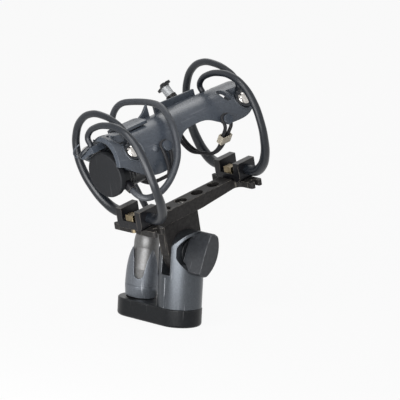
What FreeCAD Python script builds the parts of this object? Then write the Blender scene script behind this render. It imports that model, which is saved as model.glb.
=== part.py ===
import FreeCAD, Part
import math
import os
import re
import Sketcher
from FreeCAD import Placement, Rotation, Vector

# Microphone shock mount: a stadium base with a plug socket, a forked post with a wing knob,
# a tilting bar with two arm sockets, four crossing elastomer arms, and a floating half-shell
# cradle with its retaining bands, microphone connector and lead.
#
# World frame: +Z up, X across from the pole socket to the post, +Y towards the microphone's
# front end. The origin is the centre of the pole socket's mouth.
# Bar frame: origin on the clamp bolt's axis, x across, y along the bar, z up from the bar.

SIZES = (
    ("base_width", 24.4), ("base_height", 9.8), ("base_round", 1.5), ("base_edge", 0.5),
    ("post_offset", 29.3), ("pole_bore_radius", 7.0), ("pole_bore_depth", 4.6),
    ("socket_radius", 8.0), ("plug_recess", 2.2), ("pin_radius", 1.2), ("pin_circle", 4.0),
    ("screw_fit", 0.05), ("seat_gap", 0.3),
    ("post_radius", 11.9), ("bolt_height", 40.1), ("slot_width", 6.2), ("slot_depth", 12.4),
    ("bolt_radius", 3.0), ("bolt_fit", 0.08), ("spot_face", 6.0), ("spot_radius", 10.5),
    ("mould_line", 0.5), ("post_screw_radius", 2.0), ("post_screw_pitch", 12.0),
    ("post_screw_head", 3.5), ("post_screw_head_height", 3.8), ("nut_radius", 5.5),
    ("nut_height", 4.0), ("washer_radius", 7.4), ("washer_height", 1.5),
    ("knob_length", 23.6), ("knob_thickness", 9.8), ("knob_depth", 13.8), ("knob_hub", 6.4),
    ("knob_wing_depth", 8.6), ("knob_turn", -19.0),
    ("plug_lean", 5.0), ("plug_turn", 28.5), ("plug_wall", 1.1), ("plug_radius", 9.3),
    ("plug_height", 38.0), ("plug_skirt_height", 27.0), ("plug_notch_base", 13.2),
    ("plug_nose_radius", 7.2), ("plug_nose_depth", 1.6),
    ("bar_tilt", 15.5), ("bar_width", 9.5), ("bar_top", 26.5), ("bar_bottom", 19.4),
    ("bar_front", -31.5), ("bar_rear", 50.4), ("bar_tail_bottom", 22.2),
    ("tee_length", 31.0), ("tee_depth", 8.0), ("tee_top", 24.6), ("tee_bottom", 21.3),
    ("tee_notch", 2.6), ("tee_lobe", 1.5), ("tee_fillet", 4.0), ("hole_pitch", 12.2), ("hole_first", -8.0),
    ("hole_radius", 3.4), ("hole_depth", 3.2), ("bar_screw_radius", 1.5),
    ("fin_width", 25.2), ("fin_thickness", 5.6), ("fin_round", 11.6),
    ("block_length", 12.5), ("block_half", 9.0), ("block_height", 10.6), ("block_gap", 10.0),
    ("block_floor", 4.2),
    ("mic_height", 59.0), ("mic_radius", 12.5), ("shell_room", 5.0), ("shell_wall", 2.4),
    ("cradle_rear", 55.0), ("pad_angle", 43.0), ("pad_recess", 2.6), ("pad_front", -39.5),
    ("pad_rear", 43.5), ("pad_stagger", 4.9), ("eyelet_radius", 5.0), ("eyelet_height", 2.2),
    ("dome_radius", 3.5), ("dome_height", 1.6), ("dome_shank", 1.25),
    ("arm_root_radius", 2.9), ("arm_mid_radius", 2.1), ("arm_tip_radius", 1.6),
    ("hood_rise", 4.0), ("cleat_radius", 2.8), ("cleat_neck", 1.5), ("toggle_neck", 1.4),
    ("band_radius", 0.95), ("band_slack", 2.0), ("band_front", -16.3), ("band_rear", 28.6),
    ("toggle_station", 23.2), ("toggle_angle", 133.0), ("toggle_length", 11.5),
    ("cap_inset", 0.3), ("cap_height", 3.0), ("cap_front", -45.3), ("connector_step", 1.5),
    ("connector_length", 20.0), ("gland_length", 6.0), ("lead_radius", 1.75),
)

doc = FreeCAD.newDocument("shock_mount")
sheet = doc.addObject("Spreadsheet::Sheet", "sizes")
for row, (alias, value) in enumerate(SIZES, 1):
    sheet.set("A%d" % row, alias)
    sheet.set("B%d" % row, str(value))
    sheet.setAlias("B%d" % row, alias)
doc.recompute()
NAMES = {alias for alias, value in SIZES}
NODES = []


def size(alias):
    return float(sheet.get(alias))


def bound(text):
    return re.sub(r"[a-z][a-z0-9_]*", lambda found: "sizes." + found.group(0)
                  if found.group(0) in NAMES else found.group(0), text)


def bind(obj, **terms):
    for prop, text in terms.items():
        obj.setExpression(prop.replace("__", "."), bound(text))
    return obj


def place(obj, x="0", y="0", z="0"):
    return bind(obj, Placement__Base__x=x, Placement__Base__y=y, Placement__Base__z=z)


ALONG = {"x": Rotation(Vector(0, 1, 0), 90), "y": Rotation(Vector(1, 0, 0), -90), "z": Rotation()}


def box(name, length, width, height, x="0", y="0", z="0"):
    solid = bind(doc.addObject("Part::Box", name), Length=length, Width=width, Height=height)
    return place(solid, x, y, z)


def rod(name, radius, height, x="0", y="0", z="0", along="z"):
    solid = bind(doc.addObject("Part::Cylinder", name), Radius=radius, Height=height)
    solid.Placement = Placement(Vector(), ALONG[along])
    return place(solid, x, y, z)


def cone(name, radius1, radius2, height, x="0", y="0", z="0", along="z"):
    solid = bind(doc.addObject("Part::Cone", name), Radius1=radius1, Radius2=radius2, Height=height)
    solid.Placement = Placement(Vector(), ALONG[along])
    return place(solid, x, y, z)


def hexagon(name, circumradius, height, x="0", y="0", z="0", along="z"):
    solid = doc.addObject("Part::Prism", name)
    solid.Polygon = 6
    bind(solid, Circumradius=circumradius, Height=height)
    solid.Placement = Placement(Vector(), ALONG[along])
    return place(solid, x, y, z)


def fuse(name, *parts):
    joined = doc.addObject("Part::MultiFuse", name)
    joined.Shapes = list(parts)
    joined.Refine = True
    return joined


def cut(name, base, *tools):
    tool = tools[0] if len(tools) == 1 else fuse(name + "_tools", *tools)
    result = doc.addObject("Part::Cut", name)
    result.Base = base
    result.Tool = tool
    result.Refine = True
    return result


def common(name, base, tool):
    result = doc.addObject("Part::Common", name)
    result.Base = base
    result.Tool = tool
    return result


def node(obj, label):
    obj.Label = label
    NODES.append(obj)
    return obj


def in_bar_frame(obj):
    obj.setExpression("Placement", bound(
        "create(<<placement>>; create(<<vector>>; post_offset; 0; bolt_height);"
        " create(<<rotation>>; create(<<vector>>; 1; 0; 0); bar_tilt))"))
    return obj


def in_plug_frame(obj):
    obj.setExpression("Placement", bound(
        "create(<<placement>>; create(<<vector>>; 0; 0; base_height + seat_gap"
        " + 0.9 * plug_radius * sin(plug_lean)); create(<<rotation>>; create(<<vector>>; 0; 1; 0);"
        " plug_lean) * create(<<rotation>>; create(<<vector>>; 0; 0; 1); plug_turn))"))
    return obj


def feature(label, shape):
    obj = doc.addObject("Part::Feature", label + "_form")
    obj.Shape = shape
    return node(obj, label)


def origin_plane(body, role):
    return next(item for item in body.Origin.OriginFeatures if item.Role == role)


def sketch(body, role, name, outline):
    # outline: a start point, then (point) for a line or (middle, point) for an arc, closed
    drawing = body.newObject("Sketcher::SketchObject", name)
    drawing.AttachmentSupport = (origin_plane(body, role), [""])
    drawing.MapMode = "FlatFace"
    here = outline[0]
    for step in outline[1:]:
        if isinstance(step[0], tuple):
            drawing.addGeometry(Part.Arc(Vector(*here, 0), Vector(*step[0], 0), Vector(*step[1], 0)))
            here = step[1]
        else:
            drawing.addGeometry(Part.LineSegment(Vector(*here, 0), Vector(*step, 0)))
            here = step
    return drawing


def pad(body, drawing, name, length, both_ways=True):
    result = body.newObject("PartDesign::Pad", name)
    result.Profile = drawing
    result.Midplane = both_ways
    return bind(result, Length=length)


def revolve(body, drawing, name):
    result = body.newObject("PartDesign::Revolution", name)
    result.Profile = drawing
    result.ReferenceAxis = (drawing, ["V_Axis"])
    result.Angle = 360
    return result


def stadium_sketch(body, name):
    half = size("base_width") / 2
    far = size("post_offset")
    drawing = body.newObject("Sketcher::SketchObject", name)
    drawing.AttachmentSupport = (origin_plane(body, "XY_Plane"), [""])
    drawing.MapMode = "FlatFace"
    drawing.addGeometry(Part.LineSegment(Vector(0, half, 0), Vector(far, half, 0)))
    drawing.addGeometry(Part.ArcOfCircle(Part.Circle(Vector(far, 0, 0), Vector(0, 0, 1), half),
                                         -math.pi / 2, math.pi / 2))
    drawing.addGeometry(Part.LineSegment(Vector(far, -half, 0), Vector(0, -half, 0)))
    drawing.addGeometry(Part.ArcOfCircle(Part.Circle(Vector(0, 0, 0), Vector(0, 0, 1), half),
                                         math.pi / 2, 3 * math.pi / 2))
    for first, second in (((0, 2), (1, 2)), ((1, 1), (2, 1)), ((2, 2), (3, 2)), ((3, 1), (0, 1))):
        drawing.addConstraint(Sketcher.Constraint("Tangent", *first, *second))
    drawing.addConstraint(Sketcher.Constraint("Coincident", 3, 3, -1, 1))
    drawing.addConstraint(Sketcher.Constraint("PointOnObject", 1, 3, -1))
    radius = drawing.addConstraint(Sketcher.Constraint("Radius", 1, half))
    reach = drawing.addConstraint(Sketcher.Constraint("DistanceX", 3, 3, 1, 3, far))
    drawing.setExpression("Constraints[%d]" % radius, bound("base_width / 2"))
    drawing.setExpression("Constraints[%d]" % reach, bound("post_offset"))
    return drawing


def edges_at_height(shape, height):
    return ["Edge%d" % (index + 1) for index, edge in enumerate(shape.Edges)
            if abs(edge.BoundBox.ZMin - height) < 1e-4 and abs(edge.BoundBox.ZMax - height) < 1e-4]


# Base block: stadium block with a rounded lower rim, the pole's threaded socket below and the
# plug's socket above on one axis, and counterbored holes for the post's screws.
def base_block():
    body = doc.addObject("PartDesign::Body", "base_body")
    block = pad(body, stadium_sketch(body, "base_outline"), "base_pad", "base_height", False)
    doc.recompute()
    rounded = body.newObject("PartDesign::Fillet", "base_lower_round")
    rounded.Base = (block, edges_at_height(block.Shape, 0))
    bind(rounded, Radius="base_round")
    doc.recompute()
    edged = body.newObject("PartDesign::Chamfer", "base_upper_edge")
    edged.Base = (rounded, edges_at_height(rounded.Shape, size("base_height")))
    bind(edged, Size="base_edge")
    pole = rod("pole_bore", "pole_bore_radius", "pole_bore_depth + 1", "0", "0", "-1")
    socket = rod("plug_recess", "socket_radius", "base_height - pole_bore_depth + 1",
                 "0", "0", "pole_bore_depth")
    holes = []
    for index, sign in enumerate(("-", "+")):
        x = "post_offset %s post_screw_pitch / 2" % sign
        holes.append(rod("base_hole%d" % index, "post_screw_radius + 0.2", "base_height + 2", x, "0", "-1"))
        holes.append(rod("base_bore%d" % index, "post_screw_head + 0.2",
                         "post_screw_head_height + 1.4", x, "0", "-1"))
    node(cut("base_cut", body, pole, socket, *holes), "base_block")


# Three-pin receptacle standing on the shoulder between the two sockets.
def receptacle():
    tall = "base_height - pole_bore_depth - plug_recess"
    disc = rod("receptacle_plate", "socket_radius - screw_fit", tall,
               "0", "0", "pole_bore_depth + 0.02")
    holes = []
    pins = []
    for index, angle in enumerate((30, 150, 270)):
        x = "pin_circle * cos(%d)" % angle
        y = "pin_circle * sin(%d)" % angle
        holes.append(rod("pin_hole%d" % index, "pin_radius + screw_fit", tall + " + 2", x, y,
                         "pole_bore_depth - 1"))
        pins.append(rod("pin%d" % index, "pin_radius", tall + " + 0.3", x, y,
                        "pole_bore_depth + 0.02"))
    node(cut("receptacle_cut", disc, *holes), "receptacle_disc")
    node(fuse("receptacle_pin_set", *pins), "receptacle_pins")


# Post: a cast column whose top is forked; both cheeks end in a round about the clamp bolt.
def post():
    column = rod("post_column", "post_radius", "bolt_height - base_height + post_radius",
                 "post_offset", "0", "base_height")
    lower = box("post_lower", "2 * post_radius", "2 * post_radius", "bolt_height - base_height",
                "post_offset - post_radius", "-post_radius", "base_height")
    crown = rod("post_crown", "post_radius", "2 * post_radius", "post_offset - post_radius", "0",
                "bolt_height", "x")
    form = common("post_form", column, fuse("post_outline", lower, crown))
    seams = []
    for index, sign in enumerate(("-post_radius - 0.2", "post_radius - 1")):
        seams.append(box("post_seam%d" % index, "mould_line", "1.2",
                         "bolt_height - slot_depth - base_height - 1.5",
                         "post_offset - mould_line / 2", sign, "base_height"))
    slot = box("post_slot", "slot_width", "2 * post_radius + 4", "slot_depth + post_radius + 2",
               "post_offset - slot_width / 2", "-post_radius - 2", "bolt_height - slot_depth")
    bore = rod("post_bore", "bolt_radius + bolt_fit", "2 * post_radius + 4",
               "post_offset - post_radius - 2", "0", "bolt_height", "x")
    right = rod("post_spot_right", "spot_radius", "post_radius", "post_offset + spot_face", "0",
                "bolt_height", "x")
    left = rod("post_spot_left", "nut_radius + 0.8", "post_radius",
               "post_offset - spot_face - post_radius", "0", "bolt_height", "x")
    taps = [rod("post_tap%d" % index, "post_screw_radius + screw_fit", "16",
                "post_offset %s post_screw_pitch / 2" % sign, "0", "base_height - 1")
            for index, sign in enumerate(("-", "+"))]
    node(cut("post_cut", fuse("post_cast", form, *seams), slot, bore, right, left, *taps), "post")


def post_screws():
    screws = []
    for index, sign in enumerate(("-", "+")):
        x = "post_offset %s post_screw_pitch / 2" % sign
        head = rod("post_screw_head_form%d" % index, "post_screw_head", "post_screw_head_height", x, "0", "0.4")
        shank = rod("post_screw_shank%d" % index, "post_screw_radius", "base_height + 10", x, "0",
                    "post_screw_head_height")
        key = hexagon("post_screw_key%d" % index, "1.7", "2.4", x, "0", "-0.6")
        screws.append(cut("post_screw%d" % index, fuse("post_screw_form%d" % index, head, shank), key))
    node(fuse("post_screw_pair", *screws), "post_screws")


# Clamp: bolt across the fork, fixed nut on the left cheek, dark washer and wing knob on the right.
def clamp():
    nut_face = "post_offset - spot_face - nut_height"
    shank = rod("bolt_shank", "bolt_radius", "2 * spot_face + nut_height + washer_height + 7",
                nut_face + " - 0.6", "0", "bolt_height", "x")
    node(shank, "clamp_bolt")
    nut = hexagon("nut_form", "nut_radius", "nut_height", nut_face, "0", "bolt_height", "x")
    thread = rod("nut_thread", "bolt_radius + bolt_fit", "nut_height + 2", nut_face + " - 1", "0",
                 "bolt_height", "x")
    node(cut("nut_cut", nut, thread), "clamp_nut")
    ring = rod("washer_form", "washer_radius", "washer_height", "post_offset + spot_face + 0.05", "0",
               "bolt_height", "x")
    hole = rod("washer_hole", "bolt_radius + bolt_fit", "washer_height + 2",
               "post_offset + spot_face - 1", "0", "bolt_height", "x")
    node(cut("washer_cut", ring, hole), "clamp_washer")


# Wing knob: lens-shaped end face, wings that taper back to a hub; turned about the bolt's axis.
def knob():
    half = size("knob_length") / 2
    thick = size("knob_thickness") / 2
    depth = size("knob_depth")
    wing = size("knob_wing_depth")
    hub = size("knob_hub")
    face = doc.addObject("PartDesign::Body", "knob_face_body")
    lens = [(-0.88 * thick, 0.9 * half), ((-thick, 0), (-0.88 * thick, -0.9 * half)),
            ((-0.3 * thick, -half), (0.35 * thick, -0.86 * half)),
            ((thick, 0), (0.35 * thick, 0.86 * half)),
            ((-0.3 * thick, half), (-0.88 * thick, 0.9 * half))]
    pad(face, sketch(face, "XY_Plane", "knob_face_outline", lens), "knob_face_pad", "knob_depth", False)
    side = doc.addObject("PartDesign::Body", "knob_side_body")
    edge = 0.8
    wedge = [(-half, depth - edge), (-half, depth - wing), ((-0.8 * half, 0.31 * depth), (-hub, 0)),
             (hub, 0), ((0.8 * half, 0.31 * depth), (half, depth - wing)), (half, depth - edge),
             (half - edge, depth), (edge - half, depth), (-half, depth - edge)]
    pad(side, sketch(side, "YZ_Plane", "knob_side_outline", wedge), "knob_side_pad", "4 * knob_thickness")
    socket = rod("knob_socket", "bolt_radius + screw_fit", "7.5", "0", "0", "-1")
    form = cut("knob_cut", common("knob_form", face, side), socket)
    form.setExpression("Placement", bound(
        "create(<<placement>>; create(<<vector>>; post_offset + spot_face + washer_height + 0.1; 0;"
        " bolt_height); create(<<rotation>>; create(<<vector>>; 1; 0; 0); knob_turn)"
        " * create(<<rotation>>; create(<<vector>>; 1; 1; 1); 120))"))
    node(form, "knob")


# Lead plug: a skirted sleeve with four deep notches over a tapered core, leaning in the socket.
def plug():
    radius = size("plug_radius")
    wall = size("plug_wall")
    top = size("plug_skirt_height")
    sleeve = doc.addObject("PartDesign::Body", "plug_sleeve_body")
    profile = [(0.91 * radius, 0), (0.985 * radius, 4.6), (0.99 * radius, 5.9), (0.955 * radius, 6.2),
               (0.993 * radius, 6.5), (radius, 9.5), ((0.985 * radius, 15.5), (0.85 * radius, top - 0.5)),
               (0.85 * radius - 0.5, top), (0.85 * radius - wall, top), (0.97 * radius - wall, 15.5),
               (0.91 * radius - wall, 4.6), (0.91 * radius - wall, 0), (0.91 * radius, 0)]
    turned = revolve(sleeve, sketch(sleeve, "XZ_Plane", "plug_profile", profile), "plug_turned")
    base = size("plug_notch_base")
    notch = [(-6.0, top + 2), (-4.9, 25.0), (-3.6, 19.6), (-2.7, base), ((0, base - 2.7), (2.7, base)),
             (3.6, 19.6), (4.9, 25.0), (6.0, top + 2), (-6.0, top + 2)]
    drawing = sketch(sleeve, "XZ_Plane", "plug_notch_outline", notch)
    pocket = sleeve.newObject("PartDesign::Pocket", "plug_notch")
    pocket.Profile = drawing
    pocket.Type = 1
    pocket.Reversed = True
    doc.recompute()
    if turned.Shape.Volume - pocket.Shape.Volume < 1:
        raise RuntimeError("the notch misses the sleeve")
    ring = sleeve.newObject("PartDesign::PolarPattern", "plug_notches")
    ring.Originals = [pocket]
    ring.Axis = (drawing, ["V_Axis"])
    ring.Angle = 360
    ring.Occurrences = 4
    sleeve.Tip = ring
    node(in_plug_frame(sleeve), "plug_sleeve")
    core = doc.addObject("PartDesign::Body", "plug_core_body")
    height = size("plug_height")
    lead = size("lead_radius") + 0.1
    gap = 0.12
    inner = [(lead, 2.2), (0.91 * radius - wall - gap, 2.2), (0.91 * radius - wall - gap, 4.6),
             (0.97 * radius - wall - gap, 15.5), (0.85 * radius - wall - gap, top),
             ((0.7 * radius, top + 4.5), (0.47 * radius, height - 1)), (0.36 * radius, height),
             (lead, height), (lead, 2.2)]
    revolve(core, sketch(core, "XZ_Plane", "plug_core_profile", inner), "plug_core_turned")
    node(in_plug_frame(core), "plug_core")
    nose = rod("plug_nose_form", "plug_nose_radius", "plug_nose_depth + 2.0", "0", "0", "-plug_nose_depth")
    contacts = [rod("plug_hole%d" % index, "pin_radius + 0.2", "plug_nose_depth + 0.8",
                    "pin_circle * cos(%d)" % turn, "pin_circle * sin(%d)" % turn, "-plug_nose_depth - 1")
                for index, turn in enumerate((30, 150, 270))]
    node(in_plug_frame(cut("plug_nose_cut", nose, *contacts)), "plug_insert")


# Bar: one casting with a stepped neck, tapered tail, two tee ends with notched tips and four
# counterbored fixing holes; the hinge fin is screwed under its front half.
def bar():
    body = doc.addObject("PartDesign::Body", "bar_body")
    front = size("bar_front")
    rear = size("bar_rear")
    top = size("bar_top")
    bottom = size("bar_bottom")
    tee_top = size("tee_top")
    tee_bottom = size("tee_bottom")
    tail = size("bar_tail_bottom")
    fin = size("fin_width") / 2
    seat = rear - size("tee_depth") / 2 - size("block_length") / 2 - 0.2
    side = [(front, tee_bottom), (-fin - 6, tee_bottom), ((-fin - 4.4, bottom + 0.5), (-fin - 2.4, bottom)),
            (fin + 2, bottom), (rear, tail), (rear, tee_top), (seat, tee_top), (seat - 1.4, top),
            (-fin - 0.4, top),
            ((-fin - 3.4, top - 0.4), (-fin - 5.6, tee_top)), (front, tee_top), (front, tee_bottom)]
    pad(body, sketch(body, "YZ_Plane", "bar_outline", side), "bar_pad", "bar_width")
    parts = [body]
    notches = []
    thick = "tee_top - tee_bottom"
    for name, start in (("front", "bar_front"), ("rear", "bar_rear - tee_depth")):
        parts.append(box("tee_%s" % name, "tee_length - 2 * tee_lobe", "tee_depth", thick,
                         "-tee_length / 2 + tee_lobe", start, "tee_bottom"))
        for index, sign in enumerate(("-", "")):
            lobe = "%s(tee_length / 2 - tee_lobe)" % sign
            parts.append(rod("tee_%s_near%d" % (name, index), "tee_lobe", thick, lobe,
                             start + " + tee_lobe", "tee_bottom"))
            parts.append(rod("tee_%s_far%d" % (name, index), "tee_lobe", thick, lobe,
                             start + " + tee_depth - tee_lobe", "tee_bottom"))
            notches.append(box("tee_%s_notch%d" % (name, index), "5.0", "tee_notch", thick + " + 4",
                               "-tee_length / 2 - 2.0" if sign else "tee_length / 2 - 3.0",
                               start + " + tee_depth / 2 - tee_notch / 2", "tee_bottom - 2"))
            notches.append(rod("tee_%s_heel%d" % (name, index), "tee_notch / 2", thick + " + 4",
                               "%s(tee_length / 2 - 3.0)" % sign, start + " + tee_depth / 2", "tee_bottom - 2"))
    corners = ((sign, end) for sign in ("", "-") for end in ("front", "rear"))
    for index, (sign, end) in enumerate(corners):
        x = "-bar_width / 2 - tee_fillet + 0.01" if sign else "bar_width / 2 - 0.01"
        middle_x = "%s(bar_width / 2 + tee_fillet - 0.01)" % sign
        if end == "front":
            y = "bar_front + tee_depth - 0.01"
            middle_y = "bar_front + tee_depth + tee_fillet - 0.01"
        else:
            y = "bar_rear - tee_depth - tee_fillet + 0.01"
            middle_y = "bar_rear - tee_depth - tee_fillet + 0.01"
        corner = box("tee_corner%d" % index, "tee_fillet", "tee_fillet", thick, x, y, "tee_bottom")
        hollow = rod("tee_round%d" % index, "tee_fillet", thick + " + 2", middle_x, middle_y, "tee_bottom - 1")
        parts.append(cut("tee_gusset%d" % index, corner, hollow))
    holes = []
    for index in range(4):
        y = "hole_first + %d * hole_pitch" % index
        holes.append(rod("bar_bore%d" % index, "hole_radius", "hole_depth + 1", "0", y,
                         "bar_top - hole_depth"))
        holes.append(rod("bar_hole%d" % index, "bar_screw_radius + 0.15", "bar_top - bar_bottom + 4",
                         "0", y, "bar_bottom - 2"))
    for index, y in enumerate(("bar_front + tee_depth / 2", "bar_rear - tee_depth / 2")):
        holes.append(rod("tee_hole%d" % index, "bar_screw_radius + screw_fit", "9", "0",
                         y + " - block_length / 2 + 2.6", "tee_bottom - 1.5"))
    node(in_bar_frame(cut("bar_cut", fuse("bar_cast", *parts), *(notches + holes))), "bar")


def hinge_fin():
    body = doc.addObject("PartDesign::Body", "fin_body")
    half = size("fin_width") / 2
    top = size("bar_bottom") - 0.02
    low = size("fin_round")
    side = [(-half, top), (-half, 2.0), (-low, 0), ((0, -low), (low, 0)), (half, 2.0), (half, top), (-half, top)]
    pad(body, sketch(body, "YZ_Plane", "fin_outline", side), "fin_pad", "fin_thickness")
    bore = rod("fin_bore", "bolt_radius + bolt_fit", "fin_thickness + 2", "-fin_thickness / 2 - 1", "0", "0", "x")
    taps = [rod("fin_tap%d" % index, "bar_screw_radius + screw_fit", "9", "0",
                "hole_first + %d * hole_pitch" % index, "bar_bottom - 8") for index in range(2)]
    node(in_bar_frame(cut("fin_cut", body, bore, *taps)), "hinge_fin")


def bar_screws():
    screws = []
    for index in range(2):
        y = "hole_first + %d * hole_pitch" % index
        head = rod("bar_screw_head%d" % index, "hole_radius - 0.5", "2.0", "0", y, "bar_top - hole_depth + 0.02")
        shank = rod("bar_screw_shank%d" % index, "bar_screw_radius", "bar_top - hole_depth - bar_bottom + 6.5",
                    "0", y, "bar_bottom - 6")
        slot = box("bar_screw_slot%d" % index, "2 * hole_radius", "0.8", "1.2", "-hole_radius",
                   y + " - 0.4", "bar_top - hole_depth + 1.2")
        screws.append(cut("bar_screw%d" % index, fuse("bar_screw_form%d" % index, head, shank), slot))
    node(in_bar_frame(fuse("bar_screw_pair", *screws)), "bar_screws")


# Arm socket: a glossy U block across each tee, two walls along the bar and a floor with its screw.
def arm_block(label, centre):
    base = "tee_top + 0.02"
    block = box(label + "_form", "2 * block_half", "block_length", "block_height", "-block_half",
                centre + " - block_length / 2", base)
    gap = box(label + "_gap", "block_gap", "block_length + 2", "block_height", "-block_gap / 2",
              centre + " - block_length / 2 - 1", base + " + block_floor")
    bevels = []
    for index, sign in enumerate(("-", "")):
        bevels.append(rod("%s_relief%d" % (label, index), "1.6", "block_length + 2",
                          "-block_half - 0.5" if sign else "block_half + 0.5",
                          centre + " - block_length / 2 - 1", base, "y"))
    bore = rod(label + "_bore", "bar_screw_radius + 0.15", "block_floor + 4", "0",
               centre + " - block_length / 2 + 2.6", base + " - 2")
    node(in_bar_frame(cut(label + "_cut", block, gap, bore, *bevels)), label)


def block_screws():
    screws = []
    for index, centre in enumerate(("bar_front + tee_depth / 2", "bar_rear - tee_depth / 2")):
        y = centre + " - block_length / 2 + 2.6"
        head = box("block_screw_head%d" % index, "5.2", "4.4", "3.4", "-2.6", y + " - 2.2",
                   "tee_top + block_floor + 0.04")
        shank = rod("block_screw_shank%d" % index, "bar_screw_radius", "block_floor + 3.2", "0", y,
                    "tee_top - 2.6")
        screws.append(fuse("block_screw%d" % index, head, shank))
    node(in_bar_frame(fuse("block_screw_pair", *screws)), "block_screws")


def bar_frame():
    return Placement(Vector(size("post_offset"), 0, size("bolt_height")),
                     Rotation(Vector(1, 0, 0), size("bar_tilt")))


def bar_feature(label, shape):
    obj = feature(label, shape)
    return in_bar_frame(obj)


def shell_radius():
    return size("mic_radius") + size("shell_room")


def pad_seat():
    return shell_radius() - size("pad_recess")


def polar(radius, angle, station):
    # a point about the microphone's axis: angle 0 is +x, 90 is up
    turn = math.radians(angle)
    return Vector(radius * math.cos(turn), station, size("mic_height") + radius * math.sin(turn))


def radial(angle):
    turn = math.radians(angle)
    return Vector(math.cos(turn), 0, math.sin(turn))


def pads():
    # the four arm seats: name, side (+1 right, -1 left), angle, station
    angle = size("pad_angle")
    for name, mean in (("front", size("pad_front")), ("rear", size("pad_rear"))):
        yield name, 1, angle, mean + size("pad_stagger")
        yield name, -1, 180 - angle, mean - size("pad_stagger")


# Elastomer arm: leaves the block sideways, rises outside the cradle, crosses over the top and
# comes down into a moulded eyelet on the other side; thick at the root and thin at the tip.
def arm(label, root_station, side, pad_angle, pad_station):
    shell = shell_radius()
    axis = size("mic_height")
    root = size("tee_top") + 5.8
    edge = size("block_half")
    far = 1.823 * shell
    # beside the cradle: share of the way out, share of the way up to the axis, share of the way along
    rise_rows = ((0.131, 0.0, 0.01), (0.288, 0.007, 0.04), (0.546, 0.133, 0.16), (0.812, 0.42, 0.42),
                 (0.974, 0.79, 0.72))
    # over the cradle, in shell radii from the axis: across, up, share of the way along
    over_rows = ((1.823, 0.257, 0.9), (1.68, 0.857, 0.98), (1.371, 1.314, 1.0), (0.886, 1.589, 1.0),
                 (0.343, 1.611, 1.0), (-0.149, 1.474, 1.0), (-0.434, 1.286, 1.0), (-0.554, 1.051, 1.0))
    seat = polar(pad_seat() + size("eyelet_height") / 2, pad_angle, pad_station)
    turn = radial(pad_angle)
    tangent = Vector(-turn.z, 0, turn.x)
    rise = tangent if tangent.z > 0 else tangent * -1
    length = pad_station - root_station
    points = [Vector(side * (edge + 0.05), root_station, root)]
    for out, up, share in rise_rows:
        points.append(Vector(side * (edge + out * (far - edge)), root_station + share * length,
                             root + up * (axis - root)))
    for across, up, share in over_rows:
        points.append(Vector(side * across * shell, root_station + share * length, axis + up * shell))
    points.append(seat + rise * (size("eyelet_radius") + 0.3))
    curve = Part.BSplineCurve()
    curve.interpolate(points)
    radii = (size("arm_root_radius"), size("arm_mid_radius"), size("arm_tip_radius"))
    rings = []
    count = 22
    first = curve.FirstParameter
    last = curve.LastParameter
    for index in range(count + 1):
        share = index / count
        at = first + share * (last - first)
        if share < 0.45:
            radius = radii[0] + (radii[1] - radii[0]) * share / 0.45
        else:
            radius = radii[1] + (radii[2] - radii[1]) * (share - 0.45) / 0.55
        circle = Part.Circle(curve.value(at), Vector(*curve.tangent(at)[0]), radius)
        rings.append(Part.Wire([circle.toShape()]))
    limb = Part.makeLoft(rings, True, False)
    base = seat - turn * (size("eyelet_height") / 2)
    eyelet = Part.makeCylinder(size("eyelet_radius"), size("eyelet_height"), base, turn)
    neck = Part.makeCylinder(0.42 * size("eyelet_height"), 3.0,
                             seat + rise * (size("eyelet_radius") - 1.6), rise)
    limb = limb.multiFuse([eyelet, neck])
    limb = limb.cut(Part.makeCylinder(size("dome_shank") + 0.1, 12, base - turn * 4, turn))
    reach = edge + 0.04
    limb = limb.cut(Part.makeBox(2 * reach, 30, 20, Vector(-reach, root_station - 15, size("tee_top"))))
    bar_feature(label, limb)


def dome_screws(label, group):
    screws = []
    for name, side, angle, station in pads():
        if name != group:
            continue
        turn = radial(angle)
        base = polar(pad_seat() + size("eyelet_height") + 0.02, angle, station)
        radius = size("dome_radius")
        height = size("dome_height")
        ball = (radius * radius + height * height) / (2 * height)
        dome = Part.makeSphere(ball, base + turn * (height - ball))
        head = dome.common(Part.makeCylinder(radius + 1, height + 1, base, turn))
        shank = Part.makeCylinder(size("dome_shank"), size("eyelet_height") + 1.7,
                                  base - turn * (size("eyelet_height") + 1.6), turn)
        screws.append(head.fuse(shank))
    bar_feature(label, Part.makeCompound(screws))


# Cradle section: an arch that is round along the shell and drawn up to a ridge at the hood.
def arch(station, outer_top, outer_side, wall):
    axis = size("mic_height")
    low = axis - 9.0
    loops = []
    for grow in (0.0, -wall):
        side = outer_side + grow
        top = outer_top + grow
        ridge = Part.Ellipse(Vector(0, station, axis + top), Vector(side, station, axis), Vector(0, station, axis))
        ends = sorted((ridge.parameter(Vector(side, station, axis)), ridge.parameter(Vector(-side, station, axis))))
        halves = (Part.Arc(ridge, ends[0], ends[1]), Part.Arc(ridge, ends[1], ends[0] + 2 * math.pi))
        crown = max((half.toShape() for half in halves), key=lambda edge: edge.CenterOfMass.z)
        loops.append((Part.LineSegment(Vector(side, station, low), Vector(side, station, axis)).toShape(), crown,
                      Part.LineSegment(Vector(-side, station, axis), Vector(-side, station, low)).toShape()))
    outer, inner = loops
    feet = [Part.LineSegment(Vector(sign * outer_side, station, low),
                             Vector(sign * (outer_side - wall), station, low)).toShape() for sign in (-1, 1)]
    return Part.Wire([outer[0], outer[1], outer[2], feet[0], inner[2], inner[1], inner[0], feet[1]])


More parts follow.
